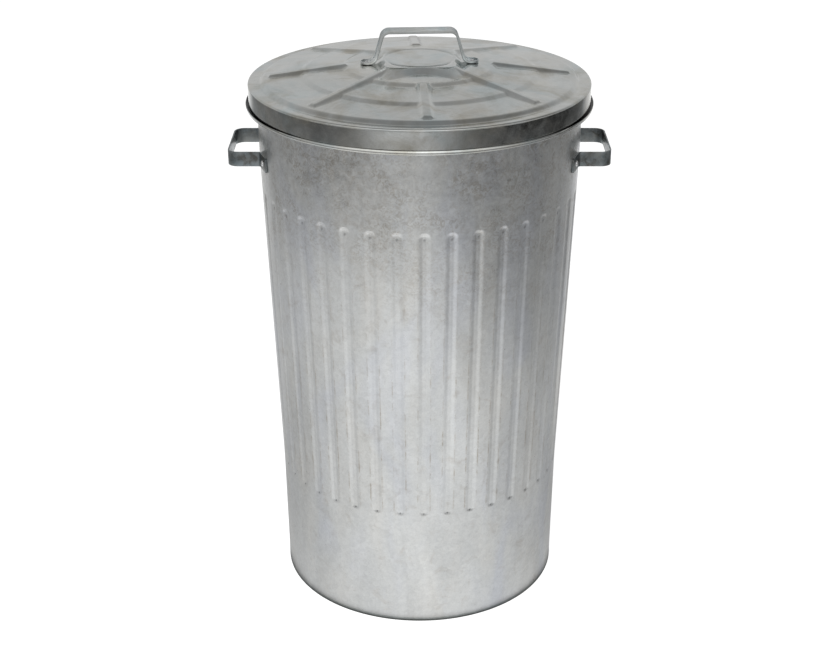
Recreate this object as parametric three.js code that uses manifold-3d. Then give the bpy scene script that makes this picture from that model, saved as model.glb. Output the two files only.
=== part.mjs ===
// Galvanised sheet-steel dustbin with a lift-off lid, in millimetres.
// +Z is up, the origin is the centre of the bin's foot, and the front is -Y.
import * as THREE from 'three';
import { mergeVertices } from 'three/addons/utils/BufferGeometryUtils.js';
import Module from 'manifold-3d';

// Clearances
const fitGap = 0.3; // between pieces that touch
const holeGap = 0.3; // around a rivet's shank

// Bin wall
const wallSheet = 1.0;
const baseRadius = 193.3; // outside of the wall at its bottom edge
const rimRadius = 213.7; // outside just under the rolled rim
const rimHeight = 722; // top of the rolled rim
const waistFlare = 2.6; // from the bottom edge out to the flutes' lower ends
const shoulderInset = 1.9; // from the rim in to the flutes' upper ends
const collarInset = 0.3; // from the rim in to the collar, where the taper ends
const collarDrop = 82; // from the rim's top down to the collar

// Flutes pressed into the wall
const fluteCount = 38;
const seamGap = 14.79; // degrees between the two flutes beside the back seam
const fluteTurn = 1.7; // degrees, from the front to the nearest flute
const fluteWidth = 16;
const fluteFloor = 8; // width of the flute's floor
const fluteDepth = 2;
const fluteRunOut = 9; // length over which an end rises to the wall
const fluteLow = 171; // height of the lower ends
const fluteDrop = 136; // from the rim's top down to the upper ends

// Rolled rim and the wire in it
const beadRadius = 4;
const beadSweep = 270; // degrees that the sheet wraps round the wire
const beadSteps = 5;

// Base
const baseSheet = 1.0;
const hemHeight = 5; // outer fold of the base round the wall's bottom edge
const baseRecess = 12; // top of the raised floor
const roundSteps = 76;

// Lid
const lidSheet = 1.0;
const lidPlay = 4.3; // between the rolled rim and the skirt
const lidTurn = 2.8; // degrees
const skirtDepth = 31.8;
const hemGap = 2.4; // open gap of the skirt's curled hem
const hemLip = 1.6;
const lidHemHeight = 5.5;
const hemRounding = 1; // outside the fold
const hemInnerRounding = 0.7;
const flangeEdge = 2; // rounding of the flange's outer edge
const flangeInset = 15.6; // insets are from the skirt's outside, heights over the flange
const riserInset = 20.5;
const riserHeight = 4.7;
const terraceOneOuterInset = 67.5;
const terraceOneInnerInset = 74.5;
const terraceOneFoot = 8.6;
const terraceOneTop = 11.9;
const terraceTwoWidth = 6.5; // of the step round the handle's feet
const terraceTwoFoot = 16.7;
const terraceTwoTop = 19.7;
const footToHub = 6.8; // from a foot of the handle in to the foot of the hub's flank
const hubFootSpread = 12; // the flank's foot lies this much further out at the front and back
const hubFootHeight = 21.2;
const hubRadius = 46.5;
const hubHeight = 27.8;

// Lid ribs
const lidRibCount = 8;
const lidRibTop = 9; // width of a rib's flat top
const lidRibEndInset = 29; // from the skirt in to where the top of a rib ends
const lidRibEndHeight = 8.7; // height of a rib's top there
const lidRibLong = 50; // radius where a diagonal rib starts
const lidRibRunOut = 6;
const eyeToRib = 4; // from an eye of the handle out to the run-out of the rib beyond it
const ribToTerrace = 8; // from that rib's start out to the step
const lidRibClear = 13; // degrees from a rib's centre line to the plain top beside it
const lidFillColumns = 5;

// Lid handle: a channel strap with an eye at each end
const gripWidth = 24;
const eyeRadius = 10;
const gripSheet = 1.2;
const gripLip = 2.5; // height of the turned-up edges over the web
const gripHeight = 65.7; // top of the handle over the flange
const gripFootSpan = 133.6; // between the starts of the two foot bends
const eyePast = 1.2; // from a foot bend's start out to the eye's centre
const gripRivetPast = 2.7; // and to the rivet
const gripFlare = 15; // length over which an eye widens into the grip
const gripFootBend = 12;
const gripTopBend = 8.3;
const gripLean = 16; // degrees, of each leg from upright
const gripTurn = 3.4; // degrees

// Side handles: flat straps
const strapHeight = 20;
const strapSheet = 2;
const strapDrop = 93; // from the rim's top down to the strap's centre line
const strapHalfSpan = 52; // from the centre to an arm's centre line
const strapRoom = 38.3; // from a tab's seat on the wall out to the grip's centre line
const strapGripBend = 13;
const strapRootBend = 4;
const strapTabPast = 13.8; // length of a tab past its rivet
const strapTabInner = 18.9; // and from the rivet to the arm's centre line
const strapCorner = 4;

// Rivets
const sideRivet = { head: 4, rise: 3, shank: 2.3, tail: 4, tailRise: 1.4 };
const gripRivet = { head: 2.9, rise: 1.8, shank: 1.6, tail: 3.4, tailRise: 1.2 };
const rivetSides = 16;
const tailTaper = 0.75; // share of a tail's width at its end
const drillLength = 20;

const radians = THREE.MathUtils.degToRad;
const wasm = await Module();
wasm.setup();

const zinc = { roughness: 0.42, metalness: 0.95 };
const finishes = {
  wall: { color: 0xa9acad, ...zinc },
  base: { color: 0x8b8e8f, ...zinc },
  lid: { color: 0xa6a9a8, ...zinc },
  wire: { color: 0x7e8284, ...zinc },
  strap: { color: 0x6c7377, roughness: 0.5, metalness: 0.9 },
  rivet: { color: 0xc2c6c8, roughness: 0.3, metalness: 0.95 },
};

const bin = new THREE.Group();

function addPiece(name, geometry, finish, parent = bin) {
  const mesh = new THREE.Mesh(geometry, new THREE.MeshStandardMaterial(finishes[finish]));
  mesh.name = name;
  parent.add(mesh);
  return mesh;
}

// Solids -------------------------------------------------------------

function weld(geometry) {
  const bare = geometry.clone();
  bare.deleteAttribute('normal');
  bare.deleteAttribute('uv');
  return mergeVertices(bare, 1e-4);
}

function toSolid(geometry) {
  const welded = weld(geometry);
  const vertProperties = new Float32Array(welded.attributes.position.array);
  const triVerts = new Uint32Array(welded.index.array);
  return new wasm.Manifold(new wasm.Mesh({ numProp: 3, vertProperties, triVerts }));
}

function toGeometry(solid) {
  const mesh = solid.getMesh();
  const geometry = new THREE.BufferGeometry();
  geometry.setAttribute('position', new THREE.BufferAttribute(mesh.vertProperties, 3));
  geometry.setIndex(new THREE.BufferAttribute(mesh.triVerts, 1));
  geometry.computeVertexNormals();
  return geometry;
}

function cut(geometry, cutters) {
  let solid = toSolid(geometry);
  for (const cutter of cutters) {
    solid = solid.subtract(toSolid(cutter));
  }
  return toGeometry(solid);
}

// Joins matching sections into one closed skin. Rows on the axis meet in a point.
function skin(sections, { ring, capped }) {
  const rows = sections[0].length;
  const positions = sections.flat().flatMap((point) => point.toArray());
  const index = [];
  const last = ring ? sections.length : sections.length - 1;
  for (let column = 0; column < last; column += 1) {
    const next = (column + 1) % sections.length;
    for (let row = 0; row < rows; row += 1) {
      const above = (row + 1) % rows;
      const corners = [column * rows + row, next * rows + row, next * rows + above, column * rows + above];
      index.push(corners[0], corners[1], corners[2], corners[0], corners[2], corners[3]);
    }
  }
  if (capped) {
    const outline = capped.map((point) => new THREE.Vector2(...point));
    const offset = (sections.length - 1) * rows;
    for (const [a, b, c] of THREE.ShapeUtils.triangulateShape(outline, [])) {
      index.push(a, b, c, offset + a, offset + c, offset + b);
    }
  }
  const geometry = new THREE.BufferGeometry();
  geometry.setAttribute('position', new THREE.Float32BufferAttribute(positions, 3));
  geometry.setIndex(index);
  const welded = mergeVertices(geometry, 1e-4);
  const kept = [];
  for (let i = 0; i < welded.index.count; i += 3) {
    const [a, b, c] = [0, 1, 2].map((k) => welded.index.getX(i + k));
    if (a !== b && b !== c && c !== a) {
      kept.push(a, b, c);
    }
  }
  welded.setIndex(kept);
  welded.computeVertexNormals();
  return welded;
}

// The second face of a sheet, at a thickness to the right of a path of [r, z] points.
function offsetPath(path, thickness) {
  return path.map(([r, z], i) => {
    const before = path[Math.max(i - 1, 0)];
    const after = path[Math.min(i + 1, path.length - 1)];
    const first = new THREE.Vector2(r - before[0], z - before[1]).normalize();
    const second = new THREE.Vector2(after[0] - r, after[1] - z).normalize();
    const along = first.clone().add(second).normalize();
    const edge = first.lengthSq() > 0 ? first : second;
    const shift = thickness / Math.max(along.dot(edge), 0.5);
    return [r + along.y * shift, z - along.x * shift];
  });
}

function lathe(profile, steps) {
  const points = [...profile, profile[0]].map((point) => new THREE.Vector2(...point));
  const geometry = new THREE.LatheGeometry(points, steps);
  geometry.rotateX(Math.PI / 2);
  return geometry;
}

// Puts a solid made along +Z on a line that leaves the axis at an azimuth from the front.
function placeRadially(geometry, azimuth, distance, height) {
  const outward = new THREE.Vector3(Math.sin(radians(azimuth)), -Math.cos(radians(azimuth)), 0);
  const turn = new THREE.Quaternion().setFromUnitVectors(new THREE.Vector3(0, 0, 1), outward);
  geometry.applyQuaternion(turn);
  geometry.translate(outward.x * distance, outward.y * distance, height);
  return geometry;
}

function drill(radius) {
  const geometry = new THREE.CylinderGeometry(radius, radius, drillLength, rivetSides);
  geometry.rotateX(Math.PI / 2);
  return geometry;
}

// Bin wall -----------------------------------------------------------

const beadCentreRadius = rimRadius - wallSheet + beadRadius;
const beadCentreHeight = rimHeight - beadRadius;
const wallBottom = baseSheet + fitGap;
const flutePitch = (360 - seamGap) / (fluteCount - 1);
const waistRadius = baseRadius + waistFlare;
const shoulderRadius = rimRadius - shoulderInset;
const collarRadius = rimRadius - collarInset;
const collarHeight = rimHeight - collarDrop;
const fluteHigh = rimHeight - fluteDrop;
const strapMiddle = rimHeight - strapDrop;

function wallOuterPath(fluteShare) {
  const pressed = fluteDepth * fluteShare;
  const path = [
    [baseRadius, wallBottom],
    [waistRadius, fluteLow],
    [waistRadius - pressed, fluteLow + fluteRunOut],
    [shoulderRadius - pressed, fluteHigh - fluteRunOut],
    [shoulderRadius, fluteHigh],
    [collarRadius, collarHeight],
    [rimRadius, beadCentreHeight - beadRadius],
  ];
  for (let step = 0; step <= beadSteps; step += 1) {
    const angle = Math.PI - radians(beadSweep) * (step / beadSteps);
    const inner = beadRadius - wallSheet;
    path.push([beadCentreRadius + inner * Math.cos(angle), beadCentreHeight + inner * Math.sin(angle)]);
  }
  return path;
}

function wallInnerPath(fluteShare) {
  const outer = wallOuterPath(fluteShare);
  const straight = outer.slice(0, outer.length - beadSteps - 1).map(([r, z]) => [r - wallSheet, z]);
  const rolled = [];
  for (let step = 0; step <= beadSteps; step += 1) {
    const angle = Math.PI - radians(beadSweep) * (step / beadSteps);
    rolled.push([
      beadCentreRadius + beadRadius * Math.cos(angle),
      beadCentreHeight + beadRadius * Math.sin(angle),
    ]);
  }
  return [...straight, ...rolled];
}

// Columns around the wall as [azimuth in degrees, share of the flute's depth].
function wallColumns() {
  const columns = [];
  const middleRadius = (waistRadius + shoulderRadius) / 2;
  const edge = THREE.MathUtils.radToDeg(fluteWidth / 2 / middleRadius);
  const floor = THREE.MathUtils.radToDeg(fluteFloor / 2 / middleRadius);
  const first = -Math.floor(fluteCount / 2) + 1;
  for (let flute = 0; flute < fluteCount; flute += 1) {
    const centre = fluteTurn + (first + flute) * flutePitch;
    columns.push([centre - edge, 0], [centre - floor, 1], [centre + floor, 1], [centre + edge, 0]);
  }
  columns.push([columns.at(-1)[0] + (seamGap - 2 * edge) / 2, 0]);
  return columns;
}

function makeWall() {
  const sections = wallColumns().map(([azimuth, share]) => {
    const loop = [...wallOuterPath(share), ...wallInnerPath(share).reverse()];
    const [x, y] = [Math.sin(radians(azimuth)), -Math.cos(radians(azimuth))];
    return loop.map(([r, z]) => new THREE.Vector3(r * x, r * y, z));
  });
  const wall = skin(sections, { ring: true });
  const holes = sideRivetPlaces().map(([azimuth]) =>
    placeRadially(drill(sideRivet.shank + holeGap), azimuth, rimRadius, strapMiddle));
  return cut(wall, holes);
}

function makeRimWire() {
  const wireRadius = beadRadius - wallSheet - 2 * fitGap;
  return new THREE.TorusGeometry(beadCentreRadius, wireRadius, 6, roundSteps);
}

// Base: a raised floor whose edge folds down, out and up round the wall.
function makeBase() {
  const channelInner = baseRadius - wallSheet - fitGap;
  const channelOuter = baseRadius + fitGap;
  const profile = [
    [0, baseRecess - baseSheet],
    [channelInner - baseSheet, baseRecess - baseSheet],
    [channelInner - baseSheet, 0],
    [channelOuter + baseSheet, 0],
    [channelOuter + baseSheet, hemHeight],
    [channelOuter, hemHeight],
    [channelOuter, baseSheet],
    [channelInner, baseSheet],
    [channelInner, baseRecess],
    [0, baseRecess],
  ];
  return lathe(profile, roundSteps);
}

// Lid ----------------------------------------------------------------

const lidFlange = rimHeight + fitGap + lidSheet;
const skirtRadius = beadCentreRadius + beadRadius + lidPlay + lidSheet;
const flangeInner = skirtRadius - flangeInset;
const riserInner = skirtRadius - riserInset;
const lidRibEnd = skirtRadius - lidRibEndInset;
const terraceOneOuter = skirtRadius - terraceOneOuterInset;
const terraceOneInner = skirtRadius - terraceOneInnerInset;

// What lies round the handle's feet follows them.
const eyeCentre = gripFootSpan / 2 + eyePast;
const gripRivetPlace = gripFootSpan / 2 + gripRivetPast;
const hubFootSide = gripFootSpan / 2 - footToHub;
const hubFootFront = hubFootSide + hubFootSpread;
const lidRibShort = eyeCentre + eyeRadius + eyeToRib + lidRibRunOut; // where the ribs beyond the feet start
const terraceTwoInner = lidRibShort + ribToTerrace;
const terraceTwoOuter = terraceTwoInner + terraceTwoWidth;

// Heights of the lid's highest and lowest sloping faces at a radius.
function topFaceHeight(radius, hubFoot) {
  return THREE.MathUtils.mapLinear(radius, hubFoot, terraceTwoInner, hubFootHeight, terraceTwoTop);
}

function lowFaceHeight(radius) {
  return THREE.MathUtils.mapLinear(radius, terraceOneOuter, riserInner, terraceOneFoot, riserHeight);
}

// The lid's upper face between the ribs, from the centre to the flange.
function lidTopPath(hubFoot) {
  const runOut = lidRibShort - lidRibRunOut;
  return [
    [0, hubHeight],
    [hubRadius, hubHeight],
    [hubFoot, hubFootHeight],
    [runOut, topFaceHeight(runOut, hubFoot)],
    [lidRibShort, topFaceHeight(lidRibShort, hubFoot)],
    [terraceTwoInner, terraceTwoTop],
    [terraceTwoOuter, terraceTwoFoot],
    [terraceOneInner, terraceOneTop],
    [terraceOneOuter, terraceOneFoot],
    [lidRibEnd, lowFaceHeight(lidRibEnd)],
    [lidRibEnd + lidRibRunOut, lowFaceHeight(lidRibEnd + lidRibRunOut)],
    [riserInner, riserHeight],
    [flangeInner, 0],
    [skirtRadius - flangeEdge, 0],
  ];
}

// From the flange down the skirt and round its curled hem.
function skirtPath() {
  const bottom = -skirtDepth;
  const lipInner = skirtRadius + hemGap;
  const lipOuter = lipInner + hemLip;
  const fold = hemInnerRounding;
  return [
    [skirtRadius, -flangeEdge],
    [skirtRadius, bottom + lidSheet + fold],
    [skirtRadius + fold, bottom + lidSheet],
    [lipInner - fold, bottom + lidSheet],
    [lipInner, bottom + lidSheet + fold],
    [lipInner, bottom + lidHemHeight],
    [lipOuter, bottom + lidHemHeight],
    [lipOuter, bottom + hemRounding],
    [lipOuter - hemRounding, bottom],
    [skirtRadius - lidSheet + fold, bottom],
    [skirtRadius - lidSheet, bottom + fold],
  ];
}

function lidUnderPath(top) {
  const under = top.map(([r, z]) => [r, z - lidSheet]);
  under[under.length - 1] = [skirtRadius - flangeEdge, -lidSheet];
  return [[skirtRadius - lidSheet, -flangeEdge], ...under.reverse()];
}

function ribHeightAt(radius, start) {
  const share = (radius - lidRibLong) / (lidRibEnd - lidRibLong);
  const inside = radius >= start && radius <= lidRibEnd;
  return inside ? THREE.MathUtils.lerp(hubHeight, lidRibEndHeight, share) : -Infinity;
}

function hubFootAt(azimuth) {
  return THREE.MathUtils.lerp(hubFootFront, hubFootSide, Math.sin(radians(azimuth)) ** 2);
}

// Columns around the lid: four across each rib, then plain ones up to the next.
function lidSections() {
  const sections = [];
  const sector = 360 / lidRibCount;
  for (let rib = 0; rib < lidRibCount; rib += 1) {
    const centre = rib * sector;
    const start = rib % 2 === 1 ? lidRibLong : lidRibShort;
    for (const [side, high] of [[-1, false], [-1, true], [1, true], [1, false]]) {
      sections.push(ribSection(centre, start, side, high));
    }
    for (let step = 0; step < lidFillColumns; step += 1) {
      const share = step / (lidFillColumns - 1);
      sections.push(plainSection(centre + THREE.MathUtils.lerp(lidRibClear, sector - lidRibClear, share)));
    }
  }
  return sections;
}

function plainSection(azimuth) {
  const top = lidTopPath(hubFootAt(azimuth));
  const loop = [...top, ...skirtPath(), ...lidUnderPath(top)].reverse();
  return loop.map(([r, z]) => polar(r, azimuth, z));
}

// One edge of a rib: of its flat top where high, otherwise of its foot, at 45 degrees below.
function ribSection(centre, start, side, high) {
  const half = lidRibTop / 2;
  const leastSpread = 1.5;
  const skirtOffset = high ? half : half + leastSpread;
  const plain = lidTopPath(hubFootAt(centre));
  const offsets = plain.map(([r, z]) => {
    const rise = Math.max(ribHeightAt(r, start) - z, leastSpread);
    return high ? half : half + rise;
  });
  const top = plain.map(([r, z]) => [r, high ? Math.max(ribHeightAt(r, start), z) : z]);
  const place = ([r, z], offset) => {
    const swing = r > 0 ? THREE.MathUtils.radToDeg(Math.asin(offset / r)) : 0;
    return polar(r, centre + side * swing, z);
  };
  const under = lidUnderPath(top);
  const underOffsets = [skirtOffset, ...offsets.slice().reverse()];
  return [
    ...top.map((point, i) => place(point, offsets[i])),
    ...skirtPath().map((point) => place(point, skirtOffset)),
    ...under.map((point, i) => place(point, underOffsets[i])),
  ].reverse();
}

function polar(radius, azimuth, z) {
  return new THREE.Vector3(radius * Math.sin(radians(azimuth)), -radius * Math.cos(radians(azimuth)), z);
}

function makeLidPan() {
  const pan = skin(lidSections(), { ring: true });
  const holes = [-1, 1].map((side) => {
    const hole = drill(gripRivet.shank + holeGap);
    const place = gripPoint(side * gripRivetPlace);
    hole.translate(place.x, place.y, gripPad);
    return hole;
  });
  return cut(pan, holes);
}

// Underside of the handle's feet over the flange.
const gripPad = topFaceHeight(gripFootSpan / 2, hubFootSide) + fitGap;

// A point on the handle's centre line, in the lid's own turned frame.
function gripPoint(along) {
  const turn = radians(gripTurn - lidTurn);
  return new THREE.Vector3(along * Math.cos(turn), along * Math.sin(turn), 0);
}

// Underside of the handle's web as [along, height, slope], from one eye to the other.
function gripPath() {
  const climb = radians(90 - gripLean);
  const arcSteps = [0, 0.2, 0.4, 0.6, 0.8, 1];
  const webTop = gripHeight - gripLip - gripSheet;
  const footStart = gripFootSpan / 2;
  const eye = arcSteps.map((step) =>
    [eyeCentre + eyeRadius * Math.cos((Math.PI / 2) * step), gripPad, 0]);
  const footBend = arcSteps.map((step) => [
    footStart - gripFootBend * Math.sin(climb * step),
    gripPad + gripFootBend * (1 - Math.cos(climb * step)),
    climb * step,
  ]);
  const [legAlong, legHeight] = footBend.at(-1);
  const topBendHeight = webTop - gripTopBend * (1 - Math.cos(climb));
  const topBendAlong = legAlong - (topBendHeight - legHeight) / Math.tan(climb);
  const topBend = arcSteps.map((step) => [
    topBendAlong - gripTopBend * (Math.sin(climb) - Math.sin(climb * (1 - step))),
    webTop - gripTopBend * (1 - Math.cos(climb * (1 - step))),
    climb * (1 - step),
  ]);
  const half = [...eye, ...footBend, ...topBend];
  const mirrored = half.map(([along, height, slope]) => [-along, height, -slope]).reverse();
  return [...half, ...mirrored];
}

// Half the handle's width at a point along it: an eye at each end, then the grip's width.
function gripHalfWidth(along) {
  const past = Math.abs(along) - eyeCentre;
  if (past > 0) {
    return Math.sqrt(Math.max(eyeRadius ** 2 - past ** 2, 0));
  }
  const share = THREE.MathUtils.clamp(-past / gripFlare, 0, 1);
  return THREE.MathUtils.lerp(eyeRadius, gripWidth / 2, share);
}

// A bar along the handle's path, drawn in by inset at its sides and ends, between two depths of the web.
function gripBar(inset, low, high) {
  const leastHalf = 0.4;
  const tip = eyeCentre + eyeRadius - inset - leastHalf;
  const sections = gripPath().map(([along, height, slope]) => {
    const drawnIn = THREE.MathUtils.clamp(along, -tip, tip);
    const half = Math.max(gripHalfWidth(drawnIn) - inset, leastHalf);
    return [[-half, low], [half, low], [half, high], [-half, high]].map(([side, depth]) =>
      new THREE.Vector3(drawnIn + Math.sin(slope) * depth, side, height + Math.cos(slope) * depth));
  });
  return skin(sections, { ring: false, capped: [[0, 0], [1, 0], [1, 1], [0, 1]] });
}

function makeGrip() {
  const bar = gripBar(0, 0, gripSheet + gripLip);
  const hollow = gripBar(gripSheet, gripSheet, gripSheet + gripLip + 1);
  const holes = [-1, 1].map((side) => {
    const hole = drill(gripRivet.shank + holeGap);
    hole.translate(side * gripRivetPlace, 0, gripPad);
    return hole;
  });
  return cut(bar, [hollow, ...holes]);
}

// Side handles -------------------------------------------------------

// Distance from the axis to a tab's inner face, clear of the wall over the strap's height.
const strapSeat = wallRadiusAt(strapMiddle + strapHeight / 2) + fitGap;
const strapReach = strapSeat + strapRoom;

function wallRadiusAt(height) {
  const path = wallOuterPath(0);
  const above = path.findIndex(([, z]) => z >= height);
  const [[lowRadius, lowZ], [highRadius, highZ]] = [path[above - 1], path[above]];
  return THREE.MathUtils.mapLinear(height, lowZ, highZ, lowRadius, highRadius);
}

// Where a tab, tangent to the wall at its rivet, reaches the arm: degrees from the front.
function rivetAzimuth() {
  const seat = strapSeat + strapSheet / 2;
  const reach = Math.hypot(seat, strapTabInner);
  return THREE.MathUtils.radToDeg(Math.acos(strapHalfSpan / reach) - Math.atan2(strapTabInner, seat));
}

function sideRivetPlaces() {
  const strapAzimuth = rivetAzimuth();
  return [
    [strapAzimuth, 'right_front'],
    [180 - strapAzimuth, 'right_back'],
    [-strapAzimuth, 'left_front'],
    [strapAzimuth - 180, 'left_back'],
  ];
}

// Centre line of half a handle on the right, from the tab's end to the middle of the grip.
function strapHalfLine() {
  const seat = strapSeat + strapSheet / 2;
  const strapAzimuth = rivetAzimuth();
  const outward = new THREE.Vector2(Math.sin(radians(strapAzimuth)), -Math.cos(radians(strapAzimuth)));
  const along = new THREE.Vector2(-outward.y, outward.x);
  const rivet = outward.clone().multiplyScalar(seat);
  const tabEnd = rivet.clone().addScaledVector(along, -strapTabPast);
  const root = rivet.clone().addScaledVector(along, (-strapHalfSpan - rivet.y) / along.y);
  const corner = new THREE.Vector2(strapReach, -strapHalfSpan);
  return [tabEnd, root, corner, new THREE.Vector2(strapReach, 0)];
}

// Rounds the corner of a line at one of its points.
function roundCorner(before, corner, after, radius, steps) {
  const incoming = before.clone().sub(corner).normalize();
  const outgoing = after.clone().sub(corner).normalize();
  const half = Math.acos(THREE.MathUtils.clamp(incoming.dot(outgoing), -1, 1)) / 2;
  const centre = incoming.clone().add(outgoing).normalize().multiplyScalar(radius / Math.sin(half)).add(corner);
  const start = corner.clone().addScaledVector(incoming, radius / Math.tan(half)).sub(centre);
  const end = corner.clone().addScaledVector(outgoing, radius / Math.tan(half)).sub(centre);
  const sweep = Math.atan2(start.cross(end), start.dot(end));
  return Array.from({ length: steps + 1 }, (_, i) =>
    start.clone().rotateAround(new THREE.Vector2(), sweep * (i / steps)).add(centre));
}

function strapLine() {
  const [tabEnd, root, corner, middle] = strapHalfLine();
  const half = [
    tabEnd,
    ...roundCorner(tabEnd, root, corner, strapRootBend, 3),
    ...roundCorner(root, corner, middle, strapGripBend, 6),
  ];
  const mirrored = half.map((point) => new THREE.Vector2(point.x, -point.y)).reverse();
  return [...half, ...mirrored];
}

function makeStrap() {
  const line = strapLine().map((point) => [point.x, point.y]);
  const left = offsetPath(line, -strapSheet / 2);
  const right = offsetPath(line, strapSheet / 2);
  const outline = new THREE.Shape([...left, ...right.reverse()].map((point) => new THREE.Vector2(...point)));
  const band = new THREE.ExtrudeGeometry(outline, { depth: strapHeight, bevelEnabled: false, steps: 1 });
  band.translate(0, 0, strapMiddle - strapHeight / 2);
  const tabTip = Math.abs(left[0][1]) + strapSheet;
  const plate = roundedRectangle(tabTip * 2, strapHeight, strapCorner);
  const window = new THREE.ExtrudeGeometry(plate, { depth: strapReach, bevelEnabled: false, steps: 1, curveSegments: 4 });
  window.rotateX(Math.PI / 2);
  window.rotateZ(Math.PI / 2);
  window.translate(strapSheet, 0, strapMiddle);
  const holes = sideRivetPlaces().slice(0, 2).map(([azimuth]) =>
    toSolid(placeRadially(drill(sideRivet.shank + holeGap), azimuth, strapSeat, strapMiddle)));
  let solid = toSolid(band).intersect(toSolid(window));
  for (const hole of holes) {
    solid = solid.subtract(hole);
  }
  return toGeometry(solid);
}

function roundedRectangle(width, height, radius) {
  const shape = new THREE.Shape();
  const [x, y] = [width / 2, height / 2];
  shape.moveTo(-x + radius, -y);
  shape.lineTo(x - radius, -y);
  shape.absarc(x - radius, -y + radius, radius, -Math.PI / 2, 0);
  shape.lineTo(x, y - radius);
  shape.absarc(x - radius, y - radius, radius, 0, Math.PI / 2);
  shape.lineTo(-x + radius, y);
  shape.absarc(-x + radius, y - radius, radius, Math.PI / 2, Math.PI);
  shape.lineTo(-x, -y + radius);
  shape.absarc(-x + radius, -y + radius, radius, Math.PI, Math.PI * 1.5);
  return shape;
}

// Rivets: a domed head outside, a shank, and an upset tail inside.
function makeRivet(rivet, grip) {
  const dome = [0, 30, 60].map((angle) =>
    [rivet.head * Math.cos(radians(angle)), rivet.rise * Math.sin(radians(angle))]);
  const profile = [
    [0, -grip - rivet.tailRise],
    [rivet.tail * tailTaper, -grip - rivet.tailRise],
    [rivet.tail, -grip],
    [rivet.shank, -grip],
    [rivet.shank, 0],
    ...dome,
    [0, rivet.rise],
  ];
  return lathe(profile, rivetSides);
}

// Assembly -----------------------------------------------------------

addPiece('body_shell', makeWall(), 'wall');
addPiece('rim_wire', makeRimWire(), 'wire').position.set(0, 0, beadCentreHeight);
addPiece('base_pan', makeBase(), 'base');

addPiece('side_handle_right', makeStrap(), 'strap');
addPiece('side_handle_left', makeStrap(), 'strap').rotation.set(0, 0, Math.PI);
for (const [azimuth, place] of sideRivetPlaces()) {
  const headSeat = strapSeat + strapSheet + fitGap;
  const tailSeat = wallRadiusAt(strapMiddle) - wallSheet - 2 * fitGap;
  const rivet = placeRadially(makeRivet(sideRivet, headSeat - tailSeat), azimuth, headSeat, strapMiddle);
  addPiece(`side_rivet_${place}`, rivet, 'rivet');
}

const lid = new THREE.Group();
lid.position.set(0, 0, lidFlange);
lid.rotation.set(0, 0, radians(lidTurn));
bin.add(lid);
addPiece('lid_pan', makeLidPan(), 'lid', lid);
const grip = new THREE.Group();
grip.rotation.set(0, 0, radians(gripTurn - lidTurn));
lid.add(grip);
addPiece('lid_handle', makeGrip(), 'lid', grip);
for (const [side, place] of [[-1, 'left'], [1, 'right']]) {
  const headSeat = gripPad + gripSheet + fitGap;
  const tailSeat = topFaceHeight(gripRivetPlace + gripRivet.tail, hubFootSide) - lidSheet - fitGap;
  const rivet = addPiece(`lid_rivet_${place}`, makeRivet(gripRivet, headSeat - tailSeat), 'rivet', grip);
  rivet.position.set(side * gripRivetPlace, 0, headSeat);
}

export default bin;
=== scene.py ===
import math

import bpy
from mathutils import Matrix, Vector


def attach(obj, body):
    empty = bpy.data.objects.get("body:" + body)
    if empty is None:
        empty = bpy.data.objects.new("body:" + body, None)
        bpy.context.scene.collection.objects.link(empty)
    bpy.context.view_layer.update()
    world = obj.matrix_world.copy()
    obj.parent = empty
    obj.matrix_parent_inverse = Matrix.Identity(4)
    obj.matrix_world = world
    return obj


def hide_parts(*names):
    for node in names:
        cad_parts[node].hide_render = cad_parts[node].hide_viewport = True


# Galvanised dustbin with a lift-off lid. Metres, +Z up, front towards -Y.
# The dictionaries hold millimetres and degrees.

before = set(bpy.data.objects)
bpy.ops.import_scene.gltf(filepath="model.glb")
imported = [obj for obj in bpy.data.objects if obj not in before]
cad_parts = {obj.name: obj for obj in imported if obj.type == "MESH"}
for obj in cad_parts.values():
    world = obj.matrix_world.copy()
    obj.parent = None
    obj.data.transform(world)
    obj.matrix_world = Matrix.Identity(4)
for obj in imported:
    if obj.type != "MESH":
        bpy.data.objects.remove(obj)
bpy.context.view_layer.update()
mm = 0.001


# Working in edit mode

def startFresh():
    if bpy.context.object and bpy.context.object.mode != "OBJECT":
        bpy.ops.object.mode_set(mode="OBJECT")
    bpy.ops.object.select_all(action="DESELECT")


def makeActive(piece):
    startFresh()
    piece.select_set(True)
    bpy.context.view_layer.objects.active = piece


def editPiece(piece, selected="SELECT"):
    makeActive(piece)
    bpy.ops.object.mode_set(mode="EDIT")
    bpy.ops.mesh.select_mode(type="VERT")
    bpy.ops.mesh.select_all(action=selected)


def leaveEdit():
    bpy.ops.object.mode_set(mode="OBJECT")


def selectPoints(piece, wanted):
    editPiece(piece, "DESELECT")
    leaveEdit()
    for vertex in piece.data.vertices:
        vertex.select = wanted(vertex.co)
    bpy.ops.object.mode_set(mode="EDIT")


def closeUp(piece, gap):
    # welds what meets and turns every face outwards
    editPiece(piece)
    bpy.ops.mesh.remove_doubles(threshold=gap * mm)
    bpy.ops.mesh.normals_make_consistent(inside=False)
    leaveEdit()


def applyModifier(piece, kind, **settings):
    makeActive(piece)
    modifier = piece.modifiers.new(kind.lower(), kind)
    for setting, value in settings.items():
        setattr(modifier, setting, value)
    bpy.ops.object.modifier_apply(modifier=modifier.name)


def thicken(piece, sheet):
    applyModifier(piece, "SOLIDIFY", thickness=sheet * mm, offset=-1, use_even_offset=True)


def softenEdges(piece, width, steps, angle):
    applyModifier(piece, "BEVEL", width=width * mm, segments=steps, limit_method="ANGLE",
                  angle_limit=math.radians(angle), harden_normals=False)


def smooth(piece, angle):
    makeActive(piece)
    bpy.ops.object.shade_smooth_by_angle(angle=math.radians(angle))


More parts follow.
